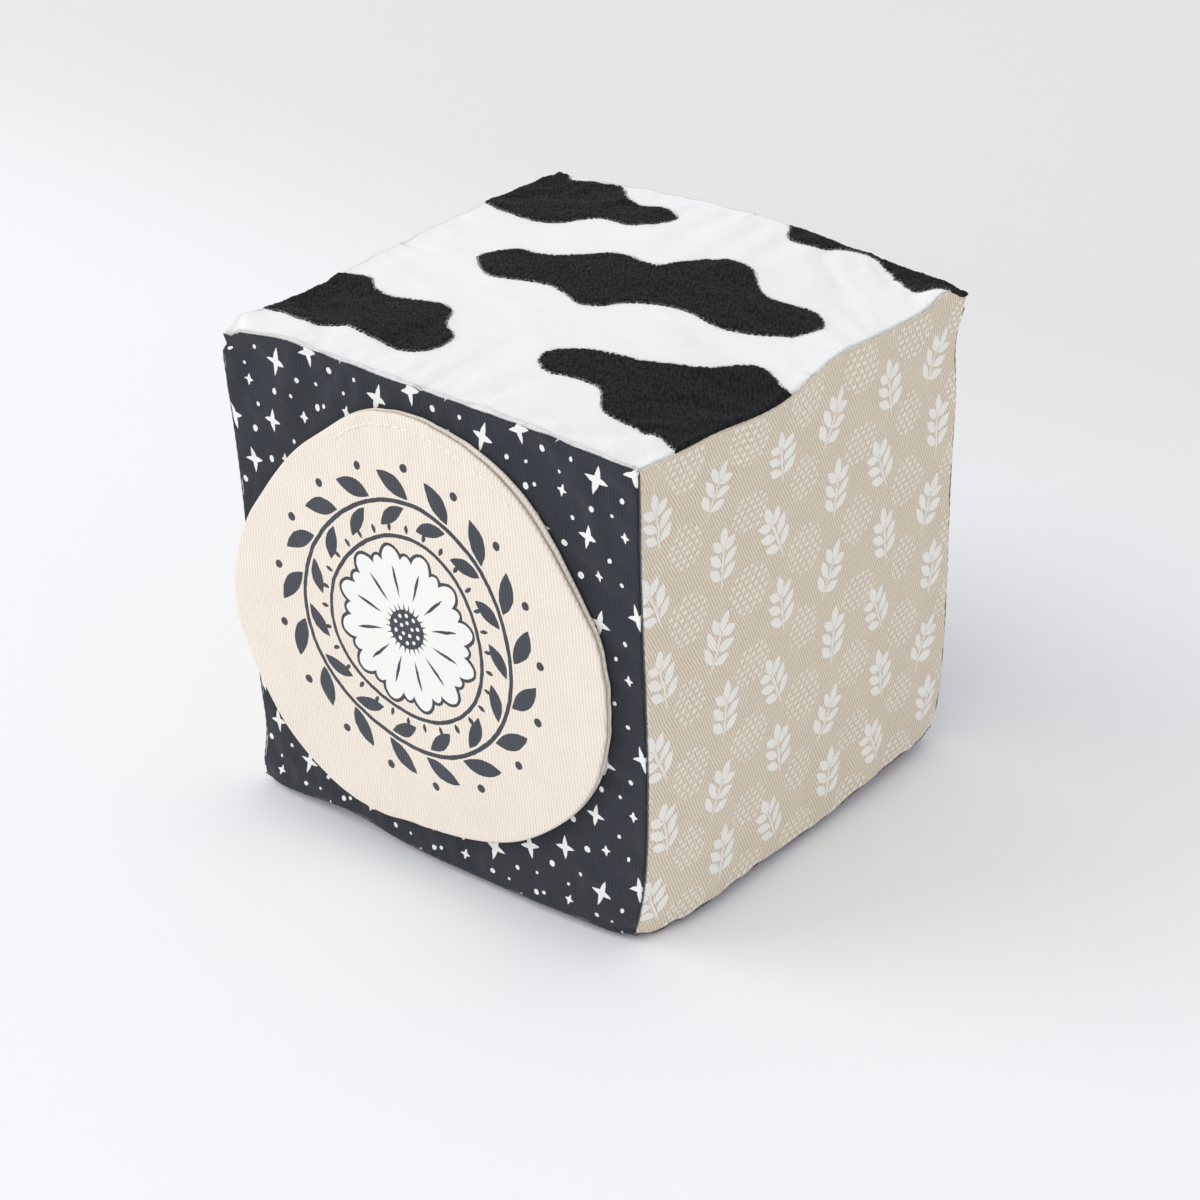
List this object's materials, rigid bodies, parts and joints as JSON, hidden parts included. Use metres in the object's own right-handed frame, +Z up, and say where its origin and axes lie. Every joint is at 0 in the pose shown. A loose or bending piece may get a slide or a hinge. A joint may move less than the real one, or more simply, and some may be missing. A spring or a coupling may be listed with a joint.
{
  "type": "soft fabric activity block",
  "caption": "Soft cloth-covered foam cube for a baby, with a plush top, printed sides and a round stitched cloth flap that lifts on the front.",
  "frame": {"origin": "middle of the flat patch of the bottom panel that the block rests on", "axes": "+Z up, the plush panel on top; -Y points out of the front panel, which carries the flap; +X points out of the beige panel on the block's right as one faces the flap"},
  "size_m": [0.1372, 0.1403, 0.1367],
  "materials": {
    "foam": "matte",
    "white_plush": "matte",
    "dark_twill": "matte",
    "beige_twill": "matte",
    "bottom_twill": "matte",
    "black_stitching": "matte",
    "flap_twill": "matte",
    "flap_lining": "matte",
    "cream_thread": "matte",
    "white_thread": "matte",
    "grey_thread": "matte"
  },
  "bodies": {
    "block": {"foam_core": "foam", "top_panel": "white_plush", "front_panel": "dark_twill", "right_panel": "beige_twill", "back_panel": "dark_twill", "left_panel": "beige_twill", "bottom_panel": "bottom_twill", "top_patch_middle": "black_stitching", "top_patch_front": "black_stitching", "top_patch_left": "black_stitching", "top_patch_back_left": "black_stitching", "top_patch_back_right": "black_stitching", "flap_face_sewn_edge": "flap_twill", "flap_lining_sewn_edge": "flap_lining", "flap_backing_sewn_edge": "flap_twill", "flap_edge_thread_sewn_edge": "cream_thread", "flap_topstitch": "cream_thread", "seam_thread_front_left": "grey_thread", "seam_thread_front_right": "grey_thread", "seam_thread_back_right": "grey_thread", "seam_thread_back_left": "grey_thread", "seam_thread_top": "white_thread", "seam_thread_bottom": "grey_thread", "closing_stitch": "grey_thread"},
    "flap": {"flap_face": "flap_twill", "flap_lining": "flap_lining", "flap_backing": "flap_twill", "flap_edge_thread": "cream_thread"}
  },
  "joints": [
    {"name": "flap_lift", "type": "hinge", "parent": "block", "child": "flap", "pos_m": [-0.0025, -0.07092, 0.11466], "axis": [-1, 0, 0], "range_deg": [0, 165]}
  ]
}
